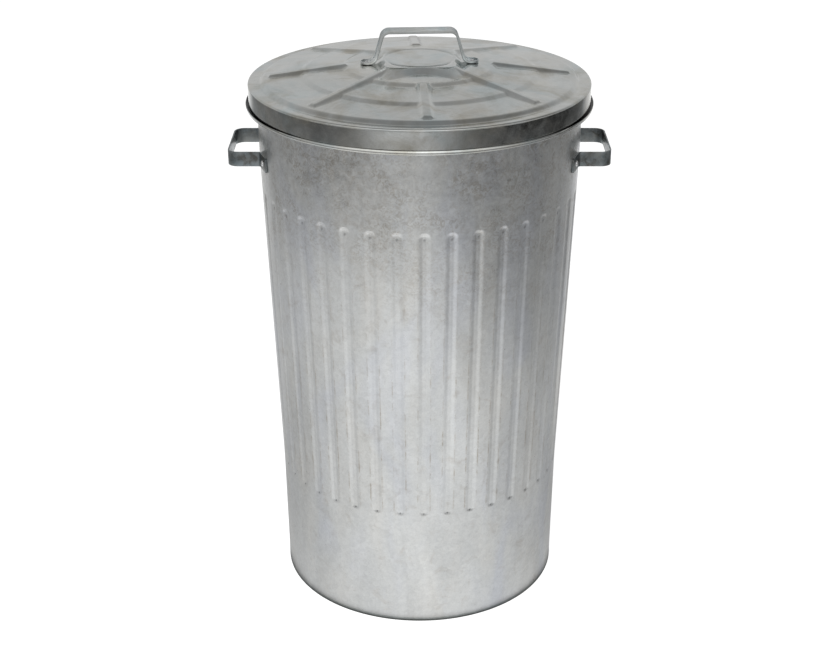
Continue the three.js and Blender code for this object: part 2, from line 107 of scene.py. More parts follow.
def joinPieces(name, pieces):
    startFresh()
    for piece in pieces:
        piece.select_set(True)
    bpy.context.view_layer.objects.active = pieces[0]
    bpy.ops.object.join()
    pieces[0].name = name
    return pieces[0]


def drawLine(name, points):
    # a line of edges, drawn from point to point (millimetres)
    startFresh()
    bpy.ops.mesh.primitive_plane_add(size=mm)
    piece = bpy.context.object
    piece.name = name
    bpy.ops.object.mode_set(mode="EDIT")
    bpy.ops.mesh.merge(type="CENTER")
    bpy.ops.transform.translate(value=Vector(points[0]) * mm)
    for here, there in zip(points, points[1:]):
        step = (Vector(there) - Vector(here)) * mm
        bpy.ops.mesh.extrude_region_move(TRANSFORM_OT_translate={"value": step})
    leaveEdit()
    return piece


def spinProfile(name, profile, steps):
    # turns a profile of (radius, height) round the upright axis
    piece = drawLine(name, [(radius, 0, height) for radius, height in profile])
    editPiece(piece)
    bpy.ops.mesh.spin(steps=steps, angle=math.tau, center=(0, 0, 0), axis=(0, 0, 1))
    closeUp(piece, 0.005)
    return piece


def makeSheet(name, columns, rows, place):
    # a grid whose every crossing goes where place(column, row) says, in millimetres
    startFresh()
    bpy.ops.mesh.primitive_grid_add(x_subdivisions=columns - 1, y_subdivisions=rows - 1, size=2)
    piece = bpy.context.object
    piece.name = name
    for vertex in piece.data.vertices:
        column = round((vertex.co.x + 1) / 2 * (columns - 1))
        row = round((vertex.co.y + 1) / 2 * (rows - 1))
        vertex.co = Vector(place(column, row)) * mm
    return piece


# Small sums

def ease(value, low, high):
    share = min(max((value - low) / (high - low), 0), 1)
    return share * share * (3 - 2 * share)


def blendTo(low, high, share):
    return low + (high - low) * share


def alongLine(place, points):
    # size at a place on a line drawn through (place, size) points
    for (lowPlace, lowSize), (highPlace, highSize) in zip(points, points[1:]):
        if place <= highPlace:
            share = max((place - lowPlace) / (highPlace - lowPlace), 0)
            return blendTo(lowSize, highSize, share)
    return points[-1][1]


def softened(place, points, reach):
    # the same with its corners rounded over the reach
    shifts = (-1, -0.6, -0.2, 0.2, 0.6, 1)
    return sum(alongLine(place + shift * reach, points) for shift in shifts) / len(shifts)


def softHigher(first, second, reach):
    meet = max(reach - abs(first - second), 0)
    return max(first, second) + meet * meet / (4 * reach)


def softLower(first, second, reach):
    return -softHigher(-first, -second, reach)


def outwardAt(azimuth):
    turned = math.radians(azimuth)
    return Vector((math.sin(turned), -math.cos(turned), 0))


def polar(radius, azimuth, height):
    turned = math.radians(azimuth)
    return (radius * math.sin(turned), -radius * math.cos(turned), height)


# Materials

def addNode(tree, kind, **settings):
    node = tree.nodes.new(kind)
    for setting, value in settings.items():
        setattr(node, setting, value)
    return node


def feed(tree, source, node, socket):
    if isinstance(source, (int, float)):
        node.inputs[socket].default_value = source
    elif isinstance(source, tuple):
        node.inputs[socket].default_value = (*source, 1) if len(source) == 3 else source
    else:
        tree.links.new(source, node.inputs[socket])


def setInputs(node, values):
    for socket, value in values.items():
        node.inputs[socket].default_value = value


def clearTree(holder):
    holder.use_nodes = True
    holder.node_tree.nodes.clear()
    return holder.node_tree


def calculate(tree, operation, first, second=0.0, third=0.0):
    node = addNode(tree, "ShaderNodeMath", operation=operation)
    feed(tree, first, node, 0)
    feed(tree, second, node, 1)
    feed(tree, third, node, 2)
    return node.outputs[0]


def spread(tree, value, low, high, newLow=0.0, newHigh=1.0):
    node = addNode(tree, "ShaderNodeMapRange", clamp=True)
    feed(tree, value, node, "Value")
    setInputs(node, {"From Min": low, "From Max": high, "To Min": newLow, "To Max": newHigh})
    return node.outputs["Result"]


def rampOf(tree, value, stops):
    # stops are (place, brightness)
    node = addNode(tree, "ShaderNodeValToRGB")
    elements = node.color_ramp.elements
    while len(elements) < len(stops):
        elements.new(0.5)
    for element, (place, tone) in zip(elements, stops):
        element.position = place
        element.color = (tone, tone, tone, 1)
    feed(tree, value, node, "Fac")
    return node.outputs["Color"]


def mixColours(tree, share, first, second, blend="MIX"):
    node = addNode(tree, "ShaderNodeMixRGB", blend_type=blend)
    feed(tree, share, node, "Fac")
    feed(tree, first, node, "Color1")
    feed(tree, second, node, "Color2")
    return node.outputs["Color"]


def markAt(tree, name):
    return addNode(tree, "ShaderNodeAttribute", attribute_name=name).outputs["Fac"]


seedShares = (1, 0.7, 1.3)  # a seed moves the noise along each axis by these shares of it


def noiseAt(tree, coordinates, size, detail, roughness=0.55, distortion=0, stretch=(1, 1, 1), seed=0):
    # noise whose blots are about size millimetres across
    mapping = addNode(tree, "ShaderNodeMapping")
    setInputs(mapping, {"Scale": stretch, "Location": [seed * share for share in seedShares]})
    feed(tree, coordinates, mapping, "Vector")
    node = addNode(tree, "ShaderNodeTexNoise")
    setInputs(node, {"Scale": 1 / (size * mm), "Detail": detail,
                     "Roughness": roughness, "Distortion": distortion})
    feed(tree, mapping.outputs[0], node, "Vector")
    return node.outputs["Fac"]


# the waviness of a grain's edge, as shares of the grain
spangleWarp = {"size": 0.8, "depth": 0.9, "detail": 2, "seedStep": 3}


def spangleAt(tree, coordinates, size, seed):
    # the flat grains of the zinc, each with its own shade
    warp = noiseAt(tree, coordinates, size * spangleWarp["size"], spangleWarp["detail"],
                   seed=seed + spangleWarp["seedStep"])
    shifted = addNode(tree, "ShaderNodeVectorMath", operation="ADD")
    feed(tree, coordinates, shifted, 0)
    shift = calculate(tree, "MULTIPLY", warp, size * mm * spangleWarp["depth"])
    feed(tree, shift, shifted, 1)
    cells = addNode(tree, "ShaderNodeTexVoronoi", feature="F1")
    cells.inputs["Scale"].default_value = 1 / (size * mm)
    feed(tree, shifted.outputs[0], cells, "Vector")
    shade = addNode(tree, "ShaderNodeSeparateColor")
    feed(tree, cells.outputs["Color"], shade, 0)
    return shade.outputs[0]


def startMaterial(name):
    material = bpy.data.materials.new(name)
    tree = clearTree(material)
    output = addNode(tree, "ShaderNodeOutputMaterial")
    shader = addNode(tree, "ShaderNodeBsdfPrincipled")
    feed(tree, shader.outputs[0], output, "Surface")
    coordinates = addNode(tree, "ShaderNodeTexCoord").outputs["Object"]
    return material, tree, shader, coordinates


def addBumps(tree, shader, layers):
    # layers are (height, millimetres of depth), the coarsest first
    normal = None
    for height, depth in layers:
        bump = addNode(tree, "ShaderNodeBump")
        setInputs(bump, {"Strength": 1, "Distance": depth * mm})
        feed(tree, height, bump, "Height")
        if normal:
            feed(tree, normal, bump, "Normal")
        normal = bump.outputs["Normal"]
    feed(tree, normal, shader, "Normal")


zincNoise = {
    # (step from the look's own seed, detail, roughness, distortion)
    "cloud": (0, 4, 0.6, 0.6), "blot": (5, 5, 0.65, 0.4), "grain": (9, 3, 0.6, 0),
    "tint": (14, 3, 0.5, 0.8), "smudge": (21, 5, 0.62, 0), "wave": (40, 1, 0.4, 0.2),
}
zincRange = {
    # between which values of its noise each layer goes from none to full
    "cloud": (0.35, 0.65), "blot": (0.3, 0.7), "grain": (0.3, 0.7),
    "cool": (0.5, 0.72), "warm": (0.48, 0.3),
}
smudgeRoughness = 0.07  # what a full smudge adds

weatherAndShade = {
    # noises: (millimetres, detail, roughness, distortion, stretch, seed)
    "mottleNoise": (7, 5, 0.72, 1.6, (1, 1, 1), 52), "mottleRange": (0.45, 0.59),
    "patchNoise": (48, 3, 0.6, 0.8, (1, 1, 1), 57), "patchRange": (0.38, 0.62, 0.15, 1),
    "grimeAndShadeNoise": (9, 5, 0.75, 0.5, (1, 1, 0.4), 31), "grimeAndShadeRange": (0.46, 0.62),
    # (metres up where it starts to change, where it is done, share at the start)
    "mottleHeights": (0.44, 0.62, 0.12), "grimeAndShadeHeights": (0.56, 0.3, 0.12),
}


def weatherAndShadeWall(tree, coordinates, colour, look):
    height = addNode(tree, "ShaderNodeSeparateXYZ")
    feed(tree, coordinates, height, 0)

    def product(first, *others):
        for other in others:
            first = calculate(tree, "MULTIPLY", first, other)
        return first

    # brownish mottling that thickens towards the rim
    mottle = spread(tree, noiseAt(tree, coordinates, *weatherAndShade["mottleNoise"]), *weatherAndShade["mottleRange"])
    patches = spread(tree, noiseAt(tree, coordinates, *weatherAndShade["patchNoise"]), *weatherAndShade["patchRange"])
    highUp = spread(tree, height.outputs["Z"], *weatherAndShade["mottleHeights"], look["mottleShare"])
    colour = mixColours(tree, product(mottle, patches, highUp), colour, look["mottle"], "MULTIPLY")

    # soiling and painted shade along the flutes' edges and, fainter, in their ends, weaker higher up
    breakUp = spread(tree, noiseAt(tree, coordinates, *weatherAndShade["grimeAndShadeNoise"]), *weatherAndShade["grimeAndShadeRange"])
    lowDown = spread(tree, height.outputs["Z"], *weatherAndShade["grimeAndShadeHeights"])
    dirtAndShade = product(markAt(tree, "grimeAndShade"), breakUp, lowDown, look["grimeAndShadeShare"])
    colour = mixColours(tree, dirtAndShade, colour, look["grimeAndShade"], "MULTIPLY")
    # painted shade: dark spots at the flutes' ends
    return mixColours(tree, markAt(tree, "tipShade"), colour, look["spot"], "MULTIPLY")


def zincMaterial(name, look):
    material, tree, shader, coordinates = startMaterial(name)

    def noise(kind, stretch=(1, 1, 1)):
        seedStep, detail, roughness, distortion = zincNoise[kind]
        distortion = look.get(kind + "Warp", distortion)
        return noiseAt(tree, coordinates, look[kind + "Size"], detail, roughness, distortion,
                       stretch, look["seed"] + seedStep)

    layers = {"cloud": noise("cloud", look["streak"]), "blot": noise("blot"), "grain": noise("grain")}
    tone = 0.0
    for kind, layer in layers.items():
        ranged = spread(tree, layer, *zincRange[kind])
        tone = calculate(tree, "MULTIPLY_ADD", ranged, look[kind + "Share"], tone)
    spangle = spangleAt(tree, coordinates, look["spangleSize"], look["seed"])
    tone = calculate(tree, "MULTIPLY_ADD", spangle, look["spangleShare"], tone)
    colour = mixColours(tree, tone, look["dark"], look["light"])

    tint = noise("tint", look["streak"])
    for kind in ("cool", "warm"):
        tinted = spread(tree, tint, *zincRange[kind], 0, look[kind + "Share"])
        colour = mixColours(tree, tinted, colour, look[kind], "MULTIPLY")

    fullSmudge = look["smudgeFrom"] + look["smudgeSoft"]
    smudged = spread(tree, noise("smudge"), look["smudgeFrom"], fullSmudge, 0, look["smudgeShare"])
    colour = mixColours(tree, smudged, colour, look["smudge"], "MULTIPLY")
    # painted shade in the gap of the lid's curl
    if "curlShade" in look:
        colour = mixColours(tree, markAt(tree, "curlShade"), colour, look["curlShade"], "MULTIPLY")
    # brownish stains, soiling and painted shade on the wall
    if "grimeAndShade" in look:
        colour = weatherAndShadeWall(tree, coordinates, colour, look)
    feed(tree, colour, shader, "Base Color")

    roughness = spread(tree, layers["blot"], *zincRange["blot"], *look["roughness"])
    roughness = calculate(tree, "MULTIPLY_ADD", smudged, smudgeRoughness, roughness)
    feed(tree, roughness, shader, "Roughness")
    shader.inputs["Metallic"].default_value = 1
    waves = noise("wave", look["waveStretch"])
    addBumps(tree, shader, [(waves, look["waveDepth"]), (layers["blot"], look["blotDepth"]),
                            (layers["grain"], look["grainDepth"])])
    return material


# The looks of the metal. Sizes in millimetres, colours linear.

wallLook = {
    "seed": 1.0,
    "dark": (0.60, 0.615, 0.615), "light": (0.86, 0.875, 0.87),
    "streak": (1, 1, 0.32), "cloudSize": 62, "cloudShare": 0.42,
    "blotSize": 9, "blotShare": 0.30, "grainSize": 2.2, "grainShare": 0.24,
    "spangleSize": 5, "spangleShare": 0.22,
    "tintSize": 60, "cool": (0.90, 0.92, 1.0), "coolShare": 0.6,
    "warm": (1.0, 0.97, 0.93), "warmShare": 0.5,
    "smudgeSize": 24, "smudgeFrom": 0.57, "smudgeSoft": 0.16, "smudgeWarp": 0.8, "smudgeShare": 0.55,
    "smudge": (0.80, 0.76, 0.72),
    "roughness": (0.27, 0.39),
    "mottle": (0.72, 0.68, 0.63), "mottleShare": 0.9,
    # soiling and painted shade along the flutes' edges, painted shade at their ends
    "grimeAndShade": (0.56, 0.49, 0.40), "grimeAndShadeShare": 0.8, "spot": (0.16, 0.16, 0.17),
    "waveSize": 90, "waveStretch": (1, 1, 0.35), "waveDepth": 1.2,
    "blotDepth": 0.05, "grainDepth": 0.016,
}

lidLook = {
    "seed": 7.0,
    "dark": (0.58, 0.595, 0.58), "light": (0.80, 0.815, 0.80),
    "streak": (1, 1, 1), "cloudSize": 80, "cloudShare": 0.46,
    "blotSize": 15, "blotShare": 0.26, "grainSize": 1.6, "grainShare": 0.14,
    "spangleSize": 5, "spangleShare": 0.12,
    "tintSize": 60, "cool": (0.84, 0.92, 0.96), "coolShare": 0.75,
    "warm": (1.0, 0.96, 0.90), "warmShare": 0.6,
    "smudgeSize": 60, "smudgeFrom": 0.48, "smudgeSoft": 0.2, "smudgeWarp": 0.6, "smudgeShare": 0.9,
    "smudge": (0.76, 0.72, 0.65),
    # the last colour is painted shade for the gap of the curl
    "roughness": (0.09, 0.17), "curlShade": (0.05, 0.05, 0.055),
    "waveSize": 70, "waveStretch": (1, 1, 1), "waveDepth": 0.7, "blotDepth": 0.03, "grainDepth": 0.008,
}

strapLook = {
    "seed": 12.0,
    "dark": (0.13, 0.145, 0.15), "light": (0.40, 0.435, 0.445),
    "streak": (1, 1, 1), "cloudSize": 26, "cloudShare": 0.45,
    "blotSize": 7, "blotShare": 0.35, "grainSize": 1.0, "grainShare": 0.16,
    "spangleSize": 3, "spangleShare": 0.08,
    "tintSize": 22, "cool": (0.82, 0.92, 1.0), "coolShare": 0.7,
    "warm": (1.0, 0.90, 0.80), "warmShare": 0.6,
    "smudgeSize": 12, "smudgeFrom": 0.52, "smudgeSoft": 0.12, "smudgeWarp": 1.0, "smudgeShare": 0.75,
    "smudge": (0.55, 0.48, 0.42),
    "roughness": (0.26, 0.42),
    "waveSize": 40, "waveStretch": (1, 1, 1), "waveDepth": 0.3, "blotDepth": 0.05, "grainDepth": 0.012,
}

gripLook = dict(lidLook, seed=9.0, dark=(0.60, 0.62, 0.62), light=(0.86, 0.88, 0.88),
                cloudSize=38, smudgeSize=26, smudgeShare=0.4, spangleShare=0.05, roughness=(0.3, 0.4),
                waveSize=40, waveDepth=0.15, blotDepth=0.01, grainDepth=0.002)

rivetLook = {
    "seed": 15.0,
    "dark": (0.70, 0.71, 0.72), "light": (0.92, 0.92, 0.92),
    "streak": (1, 1, 1), "cloudSize": 5, "cloudShare": 0.5,
    "blotSize": 2, "blotShare": 0.3, "grainSize": 0.5, "grainShare": 0.2,
    "spangleSize": 1.2, "spangleShare": 0.05,
    "tintSize": 4, "cool": (0.9, 0.95, 1.0), "coolShare": 0.4,
    "warm": (1.0, 0.95, 0.9), "warmShare": 0.4,
    "smudgeSize": 3, "smudgeFrom": 0.6, "smudgeSoft": 0.12, "smudgeWarp": 1.0, "smudgeShare": 0.5,
    "smudge": (0.6, 0.56, 0.5),
    "roughness": (0.2, 0.32),
    "waveSize": 3, "waveStretch": (1, 1, 1), "waveDepth": 0.04, "blotDepth": 0.02, "grainDepth": 0.005,
}

# the base is painted darker than the wall: painted shade at the bin's foot
shadedBaseLook = dict({key: value for key, value in wallLook.items() if key != "grimeAndShade"},
                dark=(0.30, 0.32, 0.315), light=(0.50, 0.53, 0.52), roughness=(0.3, 0.42))
wireLook = dict(rivetLook, dark=(0.45, 0.45, 0.45), light=(0.65, 0.65, 0.66), roughness=(0.35, 0.5))


# Camera, where the photograph was taken from

camera = {
    "away": 2016.3, "height": 1284.2, "aside": 0.6, "tiltDown": 24.42,
    "lens": 67.16, "sensor": 36,
}


def addCamera():
    tilt = math.radians(90 - camera["tiltDown"])
    place = Vector((camera["aside"], -camera["away"], camera["height"])) * mm
    bpy.ops.object.camera_add(location=place, rotation=(tilt, 0, 0))
    photographer = bpy.context.object
    photographer.name = "photographer"
    photographer.data.lens = camera["lens"]
    photographer.data.sensor_width = camera["sensor"]
    bpy.context.scene.camera = photographer
    print("camera placed")


# Studio: a pale floor, bright round the front of the bin, and a soft room

studio = {
    "floorSize": 30,  # metres
    # painted reflection, which the floor gives off to glossy rays only: rings of floor round the bin,
    # as the metal mirrors them: (metres from its axis, [(degrees from the front, brightness)])
    "rings": [
        # painted shadow where the floor meets the bin
        (0.1975, [(-180, 0.14), (180, 0.14)]),
        (0.206, [(-180, 0.85), (-120, 0.43), (-66, 0.58), (-30, 0.75), (0, 0.82), (25, 0.77),
            (42, 0.7), (74, 0.5), (122, 0.38), (135, 0.7), (150, 1.2), (180, 1.3)]),
        (0.7, [(-180, 0.85), (-145, 0.75), (-118, 0.43), (-66, 0.63), (-30, 0.85), (0, 0.93),
            (25, 0.87), (42, 0.77), (74, 0.52), (122, 0.4), (137, 0.8), (150, 1.2), (180, 1.3)]),
        (1.12, [(-180, 0.85), (-148, 0.75), (-127, 0.44), (-74, 0.84), (-40, 0.93), (-5, 1.0),
            (25, 0.62), (50, 0.4), (80, 0.26), (134, 0.32), (150, 1.1), (180, 1.3)]),
        (1.55, [(-180, 0.9), (-150, 0.8), (-128, 0.42), (-75, 0.34), (-41, 0.32), (-5, 0.4),
            (25, 0.26), (65, 0.21), (110, 0.25), (136, 0.4), (152, 1.0), (180, 1.2)]),
        (1.8, [(-180, 1.0), (-150, 0.9), (-128, 0.34), (-75, 0.25), (-40, 0.23), (0, 0.27),
            (22, 0.22), (60, 0.2), (104, 0.24), (128, 0.34), (146, 0.8), (160, 1.1), (180, 1.1)]),
        (2.22, [(-180, 1.0), (-150, 0.9), (-128, 0.3), (-75, 0.21), (-40, 0.2), (0, 0.2),
            (22, 0.2), (60, 0.22), (104, 0.25), (128, 0.32), (146, 0.8), (160, 1.1), (180, 1.1)]),
        (2.3, [(-180, 1.0), (-156, 0.9), (-140, 0.22), (-100, 0.14), (-62, 0.09), (-40, 0.22),
            (-18, 0.8), (0, 0.68), (20, 0.36), (38, 0.08), (60, 0.01), (104, 0.01), (132, 0.1),
            (150, 0.7), (160, 1.1), (180, 1.0)]),
        (2.6, [(-180, 0.9), (-156, 0.9), (-140, 0.2), (-100, 0.13), (-62, 0.08), (-40, 0.16),
            (-18, 0.62), (0, 0.54), (20, 0.28), (38, 0.06), (60, 0.01), (104, 0.01), (132, 0.1),
            (150, 0.7), (160, 1.1), (180, 0.9)]),
        (3.4, [(-180, 0.8), (-156, 0.8), (-140, 0.2), (-62, 0.1), (-18, 0.34), (20, 0.2),
            (38, 0.04), (104, 0.02), (132, 0.1), (150, 0.6), (160, 0.9), (180, 0.8)]),
        (4.0, [(-180, 0.45), (180, 0.45)]),
    ],
    # brightness of the room from the back's horizon over the top to the front's
    "arch": [(0, 0.60), (0.10, 0.55), (0.16, 0.50), (0.22, 0.42), (0.30, 0.33),
             (0.38, 0.27), (0.50, 0.24), (0.64, 0.24), (0.72, 0.34),
             (0.79, 1.4), (0.88, 1.4), (0.94, 0.5), (1, 0.36)],
    # brightness round the room: back, left, front, right, back
    "round": [(0, 0.55), (0.10, 0.60), (0.20, 0.42), (0.30, 0.26), (0.42, 0.34), (0.5, 0.40),
              (0.60, 0.24), (0.68, 0.10), (0.80, 0.16), (0.90, 0.50), (1, 0.55)],
    "sideShare": 0.75,
    "lampPlace": (-0.6, -3.2, 3.4), "lampAim": (0, 0, 0.4),
    "lampSize": 2.4, "lampShape": 0.6, "lampPower": 90,
    "brightest": 1.3, "floorLift": 0.72, "floorColour": 0.75,
}


def lightPath(tree, kind):
    return addNode(tree, "ShaderNodeLightPath").outputs[kind]


def wayRound(tree, x, y):
    # 0 at the back, 0.25 at the left, 0.5 at the front, 0.75 at the right
    around = calculate(tree, "ARCTAN2", x, calculate(tree, "MULTIPLY", y, -1.0))
    return calculate(tree, "MULTIPLY_ADD", around, 1 / math.tau, 0.5)


def addRoom():
    world = bpy.data.worlds.new("room")
    bpy.context.scene.world = world
    tree = clearTree(world)
    direction = addNode(tree, "ShaderNodeSeparateXYZ")
    feed(tree, addNode(tree, "ShaderNodeTexCoord").outputs["Generated"], direction, 0)
    x, y, z = direction.outputs
    over = calculate(tree, "ARCTAN2", calculate(tree, "MAXIMUM", z, 0.0), y)
    over = calculate(tree, "DIVIDE", over, math.pi)
    arch = rampOf(tree, over, studio["arch"])
    ring = rampOf(tree, wayRound(tree, x, y), studio["round"])
    sideways = calculate(tree, "MULTIPLY", calculate(tree, "ABSOLUTE", x), studio["sideShare"])
    light = mixColours(tree, sideways, arch, ring)
    plain = lightPath(tree, "Is Camera Ray")
    light = mixColours(tree, plain, light, (1.0, 1.0, 1.0))
    background = addNode(tree, "ShaderNodeBackground")
    feed(tree, light, background, "Color")
    output = addNode(tree, "ShaderNodeOutputWorld")
    feed(tree, background.outputs[0], output, "Surface")


def addFloor():
    startFresh()
    bpy.ops.mesh.primitive_plane_add(size=studio["floorSize"])
    floor = bpy.context.object
    floor.name = "floor"
    material = bpy.data.materials.new("paleFloor")
    tree = clearTree(material)
    place = addNode(tree, "ShaderNodeSeparateXYZ")
    feed(tree, addNode(tree, "ShaderNodeTexCoord").outputs["Object"], place, 0)
    x, y, _ = place.outputs
    squares = calculate(tree, "ADD", calculate(tree, "POWER", x, 2.0), calculate(tree, "POWER", y, 2.0))
    away = calculate(tree, "SQRT", squares)
    around = wayRound(tree, x, y)
    brightest = studio["brightest"]  # a ramp holds no more than 1
    rings = []
    for distance, tones in studio["rings"]:
        stops = [(turned / 360 + 0.5, tone / brightest) for turned, tone in tones]
        rings.append((distance, rampOf(tree, around, stops)))
    light = rings[0][1]
    for (inner, _), (outer, ring) in zip(rings, rings[1:]):
        light = mixColours(tree, spread(tree, away, inner, outer), light, ring)
    # painted reflection: the floor glows with the rings for glossy rays only
    paintedReflection = addNode(tree, "ShaderNodeEmission")
    feed(tree, light, paintedReflection, "Color")
    paintedReflection.inputs["Strength"].default_value = brightest
    matt = addNode(tree, "ShaderNodeBsdfDiffuse")
    matt.inputs["Color"].default_value = (*[studio["floorColour"]] * 3, 1)
    lift = addNode(tree, "ShaderNodeEmission")
    lift.inputs["Strength"].default_value = studio["floorLift"]
    seen = addNode(tree, "ShaderNodeAddShader")
    feed(tree, matt.outputs[0], seen, 0)
    feed(tree, lift.outputs[0], seen, 1)
    chosen = addNode(tree, "ShaderNodeMixShader")
    feed(tree, lightPath(tree, "Is Glossy Ray"), chosen, 0)
    feed(tree, seen.outputs[0], chosen, 1)
    feed(tree, paintedReflection.outputs[0], chosen, 2)
    output = addNode(tree, "ShaderNodeOutputMaterial")
    feed(tree, chosen.outputs[0], output, "Surface")
    floor.data.materials.append(material)


def addLamp():
    place = Vector(studio["lampPlace"])
    towards = (Vector(studio["lampAim"]) - place).to_track_quat("-Z", "Y").to_euler()
    bpy.ops.object.light_add(type="AREA", location=place, rotation=towards)
    lamp = bpy.context.object
    lamp.name = "softbox"
    lamp.data.shape = "RECTANGLE"
    lamp.data.size = studio["lampSize"]
    lamp.data.size_y = studio["lampSize"] * studio["lampShape"]
    lamp.data.energy = studio["lampPower"]
    lamp.visible_glossy = False  # the metal mirrors the room instead


# Bin wall: one flute with the plain strip beside it, repeated round the bin

wall = {
    "sheet": 1.0,
    "line": [(1.3, 193.3), (171, 195.9), (586, 211.8), (640, 213.4), (714, 213.7)],
    "cornerSpread": 16,  # over which the slopes run into each other
    "flutes": 38, "pitch": 9.33, "turn": 1.7, "firstFlute": -18,
    "fluteHalf": 8.4, "fluteFloor": 1.6, "fluteDepth": 1.35, "tipLength": 3.9,
    "fluteCrown": 0.12, "crownHalf": 3, "fluteLow": 171, "fluteHigh": 586,
    "beadCentre": (216.7, 718), "beadInside": 3.0, "beadSweep": 270, "beadSteps": 15,
    "across": [0, 1.3, 2.6, 3.8, 5.0, 6.1, 7.1, 8.3, 9.5],  # the mesh's lines beside a flute's middle
    "heights": [1.3, 3.5, 20, 60, 100, 140, 160, 166, 168.5, 170.2, 171.4, 172.8, 174.3, 176, 178,
                180.5, 184, 190, 215, 260, 320, 380, 440, 500, 545, 567, 573, 576.5, 579, 581,
                582.7, 584.2, 585.6, 586.8, 588.5, 591, 600, 615, 630, 645, 665, 690, 708],
    # a line of soiling and painted shade along each flute's edge
    "grimeAndShadeLine": 8.3, "grimeAndShadeHalf": 1.3, "grimeAndShadeInEnds": 0.25,
    # painted shade, dark spots at the flutes' ends: (height over the flute's end, half width, half
    # height, strength)
    "lowTipShade": (3.2, 1.7, 1.9, 1), "highTipShade": (-9.5, 2.4, 2.2, 0.6),
    "seamWidth": 5.46,  # degrees, of the strip that holds the seam
    "seamHalf": 5.0, "seamRise": 0.9, "seamFoldOut": 0.6, "seamFoldIn": 0.5,
    "seamTop": (705, 690), "seamFoot": (6, 12),  # heights over which the rise runs out
}


def wallRadius(height):
    return softened(height, wall["line"], wall["cornerSpread"])


def pastStraight(height):
    # how far a height lies into the round end of a flute
    half = wall["fluteHalf"]
    return max(wall["fluteLow"] + half - height, height - (wall["fluteHigh"] - half), 0)


def flutePress(aside, height):
    # share of the flute's depth
    half = wall["fluteHalf"]
    press = 1 - ease(abs(aside), wall["fluteFloor"], half)
    press *= 1 - wall["fluteCrown"] * (1 - ease(abs(aside), 0, wall["crownHalf"]))
    shoulder = half - math.sqrt(max(half * half - aside * aside, 0))
    toTip = min(height - wall["fluteLow"], wall["fluteHigh"] - height) - shoulder
    return press * ease(toTip, 0, wall["tipLength"])


def wallRows():
    # (height, turn of the bead): plain heights first, then the roll, whose height its turn gives
    rows = [(height, None) for height in wall["heights"]]
    steps = wall["beadSteps"]
    return rows + [(0, 180 - wall["beadSweep"] * step / steps) for step in range(steps + 1)]


def beadPoint(angle):
    centreRadius, centreHeight = wall["beadCentre"]
    turned = math.radians(angle)
    inside = wall["beadInside"]
    return centreRadius + inside * math.cos(turned), centreHeight + inside * math.sin(turned)


def markPoints(piece, name, measure):
    marks = piece.data.attributes.new(name, "FLOAT", "POINT")
    for vertex in piece.data.vertices:
        marks.data[vertex.index].value = measure(vertex.co / mm)


def makeStrip(name, offsets, width, relief):
    # an upright strip of the wall at the front: lines beside its middle, and its edges
    rows = wallRows()
    columns = len(offsets) + 2

    def place(column, row):
        height, angle = rows[row]
        radius = wallRadius(height)
        if angle is not None:
            radius, height = beadPoint(angle)
        if column in (0, columns - 1):
            return polar(radius, math.copysign(width / 2, column - 1), height)
        aside = offsets[column - 1]
        azimuth = math.degrees(aside / radius)
        if angle is None:
            radius += relief(aside, height)
        return polar(radius, azimuth, height)

    return makeSheet(name, columns, len(rows), place)


def asideOf(point):
    return math.atan2(point.x, -point.y) * math.hypot(point.x, point.y)


# soiling and painted shade along a flute's edge, fainter in its ends
def grimeAndShadeAt(point):
    past = pastStraight(point.z)
    away = math.hypot(asideOf(point), past)
    line = max(1 - abs(away - wall["grimeAndShadeLine"]) / wall["grimeAndShadeHalf"], 0)
    return line * (wall["grimeAndShadeInEnds"] if past > 0 else 1)


# painted shade: dark spots at a flute's ends
def tipShadeAt(point):
    total = 0
    for end, spot in ((wall["fluteLow"], "lowTipShade"), (wall["fluteHigh"], "highTipShade")):
        up, halfWidth, halfHeight, strength = wall[spot]
        away = math.hypot(asideOf(point) / halfWidth, (point.z - end - up) / halfHeight)
        total += strength * max(1 - away, 0)
    return total


def makeFluteStrip():
    sides = wall["across"]
    offsets = [-aside for aside in sides[:0:-1]] + sides
    strip = makeStrip("fluteStrip", offsets, wall["pitch"],
                      lambda aside, height: -wall["fluteDepth"] * flutePress(aside, height))
    markPoints(strip, "grimeAndShade", grimeAndShadeAt)
    markPoints(strip, "tipShade", tipShadeAt)
    return strip


def makeSeamStrip():
    # the upright lock seam at the back
    half = wall["seamHalf"]
    sides = [half - wall["seamFoldIn"], half, half + wall["seamFoldOut"]]

    def rise(aside, height):
        if abs(aside) > half:
            return 0
        return wall["seamRise"] * ease(height, *wall["seamTop"]) * ease(height, *wall["seamFoot"])

    strip = makeStrip("seamStrip", [-aside for aside in sides[::-1]] + sides, wall["seamWidth"], rise)
    for mark in ("grimeAndShade", "tipShade"):
        markPoints(strip, mark, lambda point: 0)
    return strip


def turnPiece(piece, degrees):
    piece.data.transform(Matrix.Rotation(math.radians(degrees), 4, "Z"))


def makeWall():
    strip, seam = makeFluteStrip(), makeSeamStrip()
    first = wall["turn"] + wall["firstFlute"] * wall["pitch"]
    turnPiece(strip, first)
    turnPiece(seam, first + (wall["flutes"] - 0.5) * wall["pitch"] + wall["seamWidth"] / 2)
    editPiece(strip)
    copies = wall["flutes"] - 1
    sweep = -math.radians(wall["pitch"] * copies)
    bpy.ops.mesh.spin(steps=copies, angle=sweep, dupli=True, center=(0, 0, 0), axis=(0, 0, 1))
    leaveEdit()
    shell = joinPieces("wallShell", [strip, seam])
    closeUp(shell, 0.05)
    thicken(shell, wall["sheet"])
    smooth(shell, 50)
    print("wall rolled,", len(shell.data.polygons), "faces")
    return shell


# Base: raised floor, its edge folded down, out and up round the wall

base = {
    "profile": [(0, 11), (191, 11), (191, 0), (194.6, 0), (194.6, 5),
                (193.6, 5), (193.6, 1), (192, 1), (192, 12), (0, 12)],
    "steps": 180, "edge": 0.3,
}


